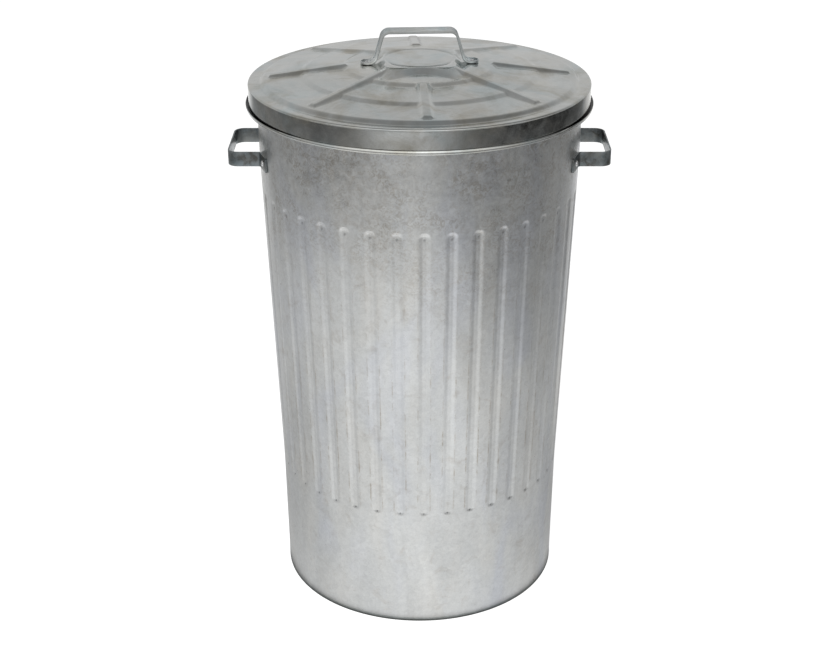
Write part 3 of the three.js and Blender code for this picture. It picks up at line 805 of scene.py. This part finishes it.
def makeBase():
    floor = spinProfile("raisedFloor", base["profile"], base["steps"])
    softenEdges(floor, base["edge"], 2, 35)
    smooth(floor, 35)
    print("base turned")
    return floor


# Lid: half of the pan is shaped, and copied round for the other half

lid = {
    "sheet": 1.0, "flange": 723.3, "turn": 2.8, "hubHeight": 27.8,
    # the hub's edge and the foot of its flank: (degrees from the front or back, radius)
    "hubEdge": [(0, 48.5), (16, 51), (27, 55), (36, 61), (45, 64),
                (54, 58), (62, 50.5), (72, 48), (90, 47.6)],
    "hubFoot": [(0, 60), (8, 61.5), (16, 67), (22, 77), (27, 87), (33, 88),
                (45, 79), (56, 63), (66, 57), (90, 56)],
    "hubTurnSpread": 2.5, "hubSpread": 0.8,
    "hubRing": (45.2, 0.9, 1.6),  # radius, depth and half width of the crease round the hub's top
    "innerFace": (50, 21.6),  # radius and height from which the face beyond the hub falls
    "outside": [(96, 19.7), (102.5, 16.7), (151.5, 11.9), (158.5, 8.6),
                (205.5, 4.7), (210.4, 0), (224, 0)],
    "creaseSpread": 1.0,
    "ribs": 8, "shortTop": 4.5, "longTop": 3.3, "ribInner": (55, 27.6), "ribOuter": (197, 8.0),
    "shortStart": 97, "startSlope": 0.6, "endSlope": 1.3, "sideSlope": 0.72, "ribSpread": 0.9,
    "endReach": 6, "ribsWithin": 206,
    # the mesh's columns, beside a rib's middle, and the radii between which they follow the rib
    "ribLines": [0, 1.5, 2.6, 3.3, 4.0, 4.7, 5.5, 6.5, 7.8, 9.4, 11.5],
    "fillColumns": 5, "followFrom": (30, 50), "followTo": (204.5, 216),
    "firstGuess": 60,  # radius at which a column's azimuth is first tried
    # the mesh's rows: over the hub, down its flank, over the face up to the first step, beyond it
    "radii": [0, 8, 20, 32, 40, 42.2, 43.7, 45.2, 46.5],
    "edgeShares": (0.5, 0.9), "flankRows": 6, "faceRows": 9, "faceOffset": 0.35,
    "outerRadii": [93.5, 95, 96, 97, 98.6, 100.4, 101.8, 102.8, 104, 107, 111, 116, 122, 129,
                   136, 143, 148, 150, 151.2, 152.2, 153.6, 155.6, 157.4, 158.6, 160, 165, 171, 177,
                   183, 189, 193.5, 196, 197, 198.2, 199.5, 201, 202.5, 204, 205.2, 206, 207.3,
                   208.8, 210, 210.9, 212.5, 215.5, 219, 222, 224],
    "skirtRadius": 226, "edgeRound": 2, "edgeSteps": 4,
    # (radius, height, how far it leans in where the curl closes on the skirt, at the front and back)
    "skirt": [(226, -4, 0), (226, -9, 0), (226, -15, 0), (226, -21, 0), (226, -27, 0), (226, -29, 0),
              (226.2, -30, 0), (226.8, -30.7, 0), (227.5, -30.7, 0.1), (228.1, -30.1, 0.2),
              (228.5, -29.0, 0.6), (228.75, -27.8, 1.3), (228.8, -26.8, 1.9)],
    "curlCloses": (0.45, 0.9),
    # painted shade inside the open curl
    "gapRadii": (226.1, 229.1), "gapHeights": (-31, -26.5), "gapFades": (0.45, 0.85),
    "gapRootRadius": 225.5, "gapRootHeight": -28,
}


def hubLine(azimuth, line):
    fromFront = math.degrees(math.acos(abs(math.cos(math.radians(azimuth)))))
    mirrored = [(-place, size) for place, size in line[:0:-1]]
    return softened(fromFront, mirrored + line, lid["hubTurnSpread"])


def faceHeight(radius, azimuth):
    edge, foot = hubLine(azimuth, lid["hubEdge"]), hubLine(azimuth, lid["hubFoot"])
    face = softened(radius, [lid["innerFace"], *lid["outside"]], lid["creaseSpread"])
    drop = softened(radius, [(0, 0), (edge, 0), (foot, 1)], lid["hubSpread"])
    ringRadius, ringDepth, ringHalf = lid["hubRing"]
    crease = ringDepth * max(1 - abs(radius - ringRadius) / ringHalf, 0) * (1 - drop)
    return blendTo(lid["hubHeight"], face, drop) - crease


def ribHeight(radius, aside, long):
    (innerRadius, innerHeight), (outerRadius, outerHeight) = lid["ribInner"], lid["ribOuter"]
    fall = (innerHeight - outerHeight) / (outerRadius - innerRadius)
    line = innerHeight - (radius - innerRadius) * fall
    soft = lid["ribSpread"]
    top = lid["longTop"] if long else lid["shortTop"]
    line -= (softHigher(abs(aside) - top, 0, soft) - soft / 4) * lid["sideSlope"]
    if radius > outerRadius - lid["endReach"]:
        line = softLower(line, outerHeight - (radius - outerRadius) * lid["endSlope"], soft)
    start = innerRadius if long else lid["shortStart"]
    if radius < start + lid["endReach"]:
        startHeight = innerHeight - (start - innerRadius) * fall
        line = softLower(line, startHeight - (start - radius) * lid["startSlope"], soft)
    return line


def topRadii(azimuth):
    # the rows between the hub's top and the first step follow the hub's edge and foot
    inner, outer = lid["radii"], lid["outerRadii"]
    edge, foot = hubLine(azimuth, lid["hubEdge"]), hubLine(azimuth, lid["hubFoot"])
    flanks, faces = lid["flankRows"], lid["faceRows"]
    top = [blendTo(inner[-1], edge, share) for share in lid["edgeShares"]]
    flank = [blendTo(edge, foot, step / flanks) for step in range(flanks + 1)]
    face = [blendTo(foot, outer[0], (step + lid["faceOffset"]) / faces) for step in range(faces)]
    return inner + top + flank + face + outer


def skirtRows():
    # (radius, height, lean) from the flange's edge down to the curl
    bend, steps = lid["edgeRound"], lid["edgeSteps"]
    turns = [math.pi / 2 * (step + 1) / steps for step in range(steps)]
    edge = [(lid["skirtRadius"] - bend + bend * math.sin(turned), -bend + bend * math.cos(turned), 0)
            for turned in turns]
    return edge + lid["skirt"]


def lidColumns():
    # for half the lid: (rib, side of it, share of the half sector, distance beside the rib,
    # share of the way from there to the sector's edge)
    lines, fills = lid["ribLines"], lid["fillColumns"]
    spots = [(aside, 0) for aside in lines] + [(lines[-1], (step + 1) / fills) for step in range(fills)]
    half = [(index / (len(spots) - 1), *spot) for index, spot in enumerate(spots)]
    columns = []
    for rib in range(lid["ribs"] // 2):
        whole = [(rib, -1, *spot) for spot in half[:0:-1]] + [(rib, 1, *spot) for spot in half]
        columns += whole[1:] if columns else whole
    return columns


def columnTurn(column, radius):
    # degrees from the rib's middle: even over the hub and the skirt, close beside the rib between
    _, side, evenShare, aside, onShare = column
    halfSector = 180 / lid["ribs"]
    follow = ease(radius, *lid["followFrom"]) * (1 - ease(radius, *lid["followTo"]))
    beside = math.degrees(aside / max(radius, lid["followFrom"][1]))
    return side * blendTo(halfSector * evenShare, blendTo(beside, halfSector, onShare), follow)


def makeLidHalf():
    columns = lidColumns()
    topCount = len(topRadii(0))
    skirt = skirtRows()
    sector = 360 / lid["ribs"]

    def topPoint(column, row):
        rib = column[0]
        radius = lid["firstGuess"]
        for _ in range(2):
            turn = columnTurn(column, radius)
            azimuth = rib * sector + turn
            radius = topRadii(azimuth)[row]
        height = faceHeight(radius, azimuth)
        if radius < lid["ribsWithin"]:
            aside = radius * math.sin(math.radians(turn))
            height = softHigher(height, ribHeight(radius, aside, rib % 2 == 1), lid["ribSpread"])
        return radius, azimuth, height

    def skirtPoint(column, row):
        radius, height, lean = skirt[row]
        azimuth = column[0] * sector + columnTurn(column, lid["skirtRadius"])
        closed = ease(abs(math.cos(math.radians(azimuth))), *lid["curlCloses"])
        return radius - lean * closed, azimuth, height

    def place(column, row):
        if row < topCount:
            radius, azimuth, height = topPoint(columns[column], row)
        else:
            radius, azimuth, height = skirtPoint(columns[column], row - topCount)
        return polar(radius, azimuth + lid["turn"], lid["flange"] + height)

    return makeSheet("lidPan", len(columns), topCount + len(skirt), place)


def curlGapShadeAt(point):
    # painted shade in the open gap of the curl, at the sides; none at the front
    radius, height = math.hypot(point.x, point.y), point.z - lid["flange"]
    (inner, outer), (low, high) = lid["gapRadii"], lid["gapHeights"]
    inRoot = lid["gapRootRadius"] < radius <= inner and height < lid["gapRootHeight"]
    if not (low < height < high and (inRoot or inner < radius < outer)):
        return 0
    return 1 - ease(abs(point.y) / radius, *lid["gapFades"])


def makeLidPan():
    pan = makeLidHalf()
    editPiece(pan)
    bpy.ops.mesh.spin(steps=1, angle=math.pi, dupli=True, center=(0, 0, 0), axis=(0, 0, 1))
    leaveEdit()
    closeUp(pan, 0.02)
    thicken(pan, lid["sheet"])
    # painted shade in the curl's gap
    markPoints(pan, "curlShade", curlGapShadeAt)
    smooth(pan, 60)
    print("lid pressed,", len(pan.data.polygons), "faces")
    return pan


# Lid handle: a channel strap bent to a bridge

grip = {
    "turn": 3.4, "sheet": 1.2, "half": 12, "lip": 2.5, "lipRound": 1.5,
    "footHeight": 21.22, "top": 65.7, "eyeCentre": 68, "eyeRadius": 10, "flare": 15,
    "footStart": 66.8, "footBend": 12, "topBend": 8.3, "lean": 16, "rivetAlong": 69.5,
    "eyeSteps": 14, "bendSteps": 9, "legShares": (0.33, 0.66), "barShares": (0.75, 0.5, 0.25),
    "lipTurns": (67, 45, 22), "edge": 0.22,
}


def webHeight():
    return grip["top"] - grip["lip"] - grip["sheet"]


def gripBend(radius, turns):
    # (along, height, slope) on an arc that starts level, for each turn
    return [(radius * math.sin(turn), radius * (1 - math.cos(turn)), turn) for turn in turns]


def gripLine():
    # underside of the web from one eye to the other: (along, height over the flange, slope)
    climb = math.radians(90 - grip["lean"])
    low, web = grip["footHeight"], webHeight()
    eyeSteps, bendSteps = grip["eyeSteps"], grip["bendSteps"]
    turns = [climb * step / bendSteps for step in range(bendSteps + 1)]
    eye = [(grip["eyeCentre"] + grip["eyeRadius"] * math.cos(math.pi / 2 * step / eyeSteps), low, 0)
           for step in range(eyeSteps + 1)]
    foot = [(grip["footStart"] - along, low + rise, slope)
            for along, rise, slope in gripBend(grip["footBend"], turns)]
    topBend = gripBend(grip["topBend"], turns[::-1])
    legAlong, legHeight, _ = foot[-1]
    topHeight = web - topBend[0][1]
    topAlong = legAlong - (topHeight - legHeight) / math.tan(climb)
    leg = [(blendTo(legAlong, topAlong, share), blendTo(legHeight, topHeight, share), climb)
           for share in grip["legShares"]]
    top = [(topAlong - topBend[0][0] + along, web - drop, slope) for along, drop, slope in topBend]
    bar = [(top[-1][0] * share, web, 0) for share in grip["barShares"]]
    half = eye + foot + leg + top + bar
    return half + [(0, web, 0)] + [(-along, height, -slope) for along, height, slope in reversed(half)]


def gripHalfAt(along):
    past = abs(along) - grip["eyeCentre"]
    if past > 0:
        return math.sqrt(max(grip["eyeRadius"] ** 2 - past ** 2, 0))
    return blendTo(grip["eyeRadius"], grip["half"], ease(-past, 0, grip["flare"]))


def gripSection(half):
    # (aside, depth) of the outer face from one lip over the web to the other
    bend = min(grip["lipRound"], half)
    lipTop = grip["lip"] + grip["sheet"]
    corner = [(half - bend * (1 - math.sin(turn)), bend * (1 - math.cos(turn)))
              for turn in map(math.radians, grip["lipTurns"])]
    inner = half - bend
    side = [(half, lipTop), (half, (lipTop + bend) / 2), (half, bend), *corner,
            (inner, 0), (inner / 2, 0)]
    return [(-aside, depth) for aside, depth in side] + [(0, 0)] + side[::-1]


def makeGrip():
    line = gripLine()
    section = gripSection(grip["half"])
    turned = math.radians(grip["turn"])

    def place(column, row):
        along, height, slope = line[row]
        aside, depth = gripSection(gripHalfAt(along))[column]
        along += math.sin(slope) * depth
        height += math.cos(slope) * depth
        x = along * math.cos(turned) - aside * math.sin(turned)
        y = along * math.sin(turned) + aside * math.cos(turned)
        return (x, y, lid["flange"] + height)

    channel = makeSheet("gripStrap", len(section), len(line), place)
    closeUp(channel, 0.01)
    # the sheet is its outer face, which looks down and out, so the thickness goes up and in
    under = Vector((0, 0, lid["flange"] + webHeight())) * mm
    nearest = min(channel.data.polygons, key=lambda face: (face.center - under).length)
    if nearest.normal.z > 0:
        channel.data.flip_normals()
    thicken(channel, grip["sheet"])
    softenEdges(channel, grip["edge"], 2, 50)
    smooth(channel, 45)
    print("lid handle bent")
    return channel


# Side handles: flat straps, a tab riveted to the wall at each end

strap = {
    "height": 20, "sheet": 2, "middle": 629, "seat": 213.67, "halfSpan": 52, "reach": 251.97,
    "gripBend": 13, "gripSteps": 10, "rootBend": 4, "rootSteps": 6, "tabPast": 13.8, "tabInner": 18.9,
    "corner": 4, "cornerSteps": 6, "edge": 0.45,
}


def rivetAzimuth():
    seat = strap["seat"] + strap["sheet"] / 2
    reach = math.hypot(seat, strap["tabInner"])
    return math.degrees(math.acos(strap["halfSpan"] / reach) - math.atan2(strap["tabInner"], seat))


def roundCorner(before, corner, after, radius, steps):
    incoming = (before - corner).normalized()
    outgoing = (after - corner).normalized()
    half = incoming.angle(outgoing) / 2
    centre = corner + (incoming + outgoing).normalized() * radius / math.sin(half)
    start = corner + incoming * radius / math.tan(half) - centre
    end = corner + outgoing * radius / math.tan(half) - centre
    return [centre + start.normalized().slerp(end.normalized(), step / steps) * radius
            for step in range(steps + 1)]


def strapLine():
    outward = outwardAt(rivetAzimuth())
    along = Vector((-outward.y, outward.x, 0))
    rivet = outward * (strap["seat"] + strap["sheet"] / 2)
    tabEnd = rivet - along * strap["tabPast"]
    root = rivet + along * (-strap["halfSpan"] - rivet.y) / along.y
    corner = Vector((strap["reach"], -strap["halfSpan"], 0))
    middle = Vector((strap["reach"], 0, 0))
    half = [tabEnd, *roundCorner(tabEnd, root, corner, strap["rootBend"], strap["rootSteps"]),
            *roundCorner(root, corner, middle, strap["gripBend"], strap["gripSteps"])]
    return half + [Vector((point.x, -point.y, 0)) for point in reversed(half)]


def makeSideHandle(name, degrees):
    low = strap["middle"] - strap["height"] / 2
    line = [(point.x, point.y, low) for point in strapLine()]
    ribbon = drawLine(name, line)
    editPiece(ribbon)
    bpy.ops.mesh.extrude_region_move(TRANSFORM_OT_translate={"value": (0, 0, strap["height"] * mm)})
    leaveEdit()
    tabEnd = abs(line[0][1]) * mm
    selectPoints(ribbon, lambda point: abs(abs(point.y) - tabEnd) < 1e-6)
    bpy.ops.mesh.bevel(offset=strap["corner"] * mm, segments=strap["cornerSteps"], affect="VERTICES")
    leaveEdit()
    closeUp(ribbon, 0.005)
    applyModifier(ribbon, "SOLIDIFY", thickness=strap["sheet"] * mm, offset=0, use_even_offset=True)
    softenEdges(ribbon, strap["edge"], 3, 50)
    turnPiece(ribbon, degrees)
    smooth(ribbon, 40)
    return ribbon


# Rivets

sideRivet = {
    "head": 4, "rise": 3, "shank": 2.3, "tail": 4, "tailRise": 1.4, "hold": 3.95, "steps": 32,
}
gripRivet = {
    "head": 2.9, "rise": 1.8, "shank": 1.6, "tail": 3.4, "tailRise": 1.2, "hold": 3.1, "steps": 28,
}
rivetForm = {
    "domeTurns": (12, 25, 38, 51, 64, 77), "domePower": 0.9, "seatShare": 0.97, "rim": 0.25,
    # the closed end: (share of its radius, share of its rise)
    "tailShares": [(0.3, 1), (0.75, 0.8)], "tailRim": 0.3,
    "standOff": 0.3,  # from the sheet to the foot of the head
}


def makeRivet(name, rivet):
    head, shank, tail, hold = rivet["head"], rivet["shank"], rivet["tail"], rivet["hold"]
    seat = rivetForm["seatShare"]
    dome = [(head * math.cos(turn) ** rivetForm["domePower"], rivet["rise"] * math.sin(turn))
            for turn in map(math.radians, rivetForm["domeTurns"])]
    closed = [(tail * wide, -hold - rivet["tailRise"] * deep) for wide, deep in rivetForm["tailShares"]]
    profile = [(0, -hold - rivet["tailRise"]), *closed, (tail, -hold - rivetForm["tailRim"]),
               (tail * seat, -hold), (shank, -hold), (shank, 0), (head * seat, 0),
               (head, rivetForm["rim"]), *dome, (0, rivet["rise"])]
    piece = spinProfile(name, profile, rivet["steps"])
    smooth(piece, 50)
    return piece


def placeRadially(piece, azimuth, distance, height):
    outward = outwardAt(azimuth)
    turn = outward.to_track_quat("Z", "Y").to_matrix().to_4x4()
    place = Matrix.Translation((outward * distance + Vector((0, 0, height))) * mm)
    piece.data.transform(place @ turn)


def copyPiece(piece, name):
    copy = piece.copy()
    copy.data = piece.data.copy()
    copy.name = name
    bpy.context.collection.objects.link(copy)
    return copy


# Putting it together

def finishPiece(piece, material, body, slot, *nodes):
    piece.data.materials.clear()
    piece.data.materials.append(material)
    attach(piece, body)
    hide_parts(*nodes)


addCamera()
addRoom()
addFloor()
addLamp()
print("studio lit")

wallZinc = zincMaterial("wallZinc", wallLook)
lidZinc = zincMaterial("lidZinc", lidLook)
gripZinc = zincMaterial("gripZinc", gripLook)
strapZinc = zincMaterial("strapZinc", strapLook)
rivetSteel = zincMaterial("rivetSteel", rivetLook)
wireSteel = zincMaterial("wireSteel", wireLook)
shadedBaseZinc = zincMaterial("shadedBaseZinc", shadedBaseLook)
print("metal mixed")

finishPiece(makeWall(), wallZinc, "root", "wall_zinc", "body_shell")
finishPiece(makeBase(), shadedBaseZinc, "root", "wall_zinc", "base_pan")
finishPiece(makeSideHandle("sideHandleRight", 0), strapZinc, "root", "strap_zinc", "side_handle_right")
finishPiece(makeSideHandle("sideHandleLeft", 180), strapZinc, "root", "strap_zinc", "side_handle_left")
print("side handles bent")

headSeat = strap["seat"] + strap["sheet"] + rivetForm["standOff"]
patternRivet = makeRivet("sideRivetPattern", sideRivet)
azimuth = rivetAzimuth()
for name, turned in (("right_front", azimuth), ("right_back", 180 - azimuth),
                     ("left_front", -azimuth), ("left_back", azimuth - 180)):
    piece = copyPiece(patternRivet, "sideRivet_" + name)
    placeRadially(piece, turned, headSeat, strap["middle"])
    finishPiece(piece, rivetSteel, "root", "rivet_zinc", "side_rivet_" + name)
bpy.data.objects.remove(patternRivet)

finishPiece(makeLidPan(), lidZinc, "lid", "lid_zinc", "lid_pan")
finishPiece(makeGrip(), gripZinc, "lid", "lid_zinc", "lid_handle")
height = lid["flange"] + grip["footHeight"] + grip["sheet"] + rivetForm["standOff"]
for name, side in (("left", -1), ("right", 1)):
    piece = makeRivet("lidRivet_" + name, gripRivet)
    along = outwardAt(grip["turn"] + 90) * side * grip["rivetAlong"]
    piece.data.transform(Matrix.Translation((along + Vector((0, 0, height))) * mm))
    finishPiece(piece, rivetSteel, "lid", "rivet_zinc", "lid_rivet_" + name)
print("rivets set")

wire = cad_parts["rim_wire"]
wire.data.materials.clear()
wire.data.materials.append(wireSteel)

bpy.context.scene.view_settings.view_transform = "Standard"
startFresh()
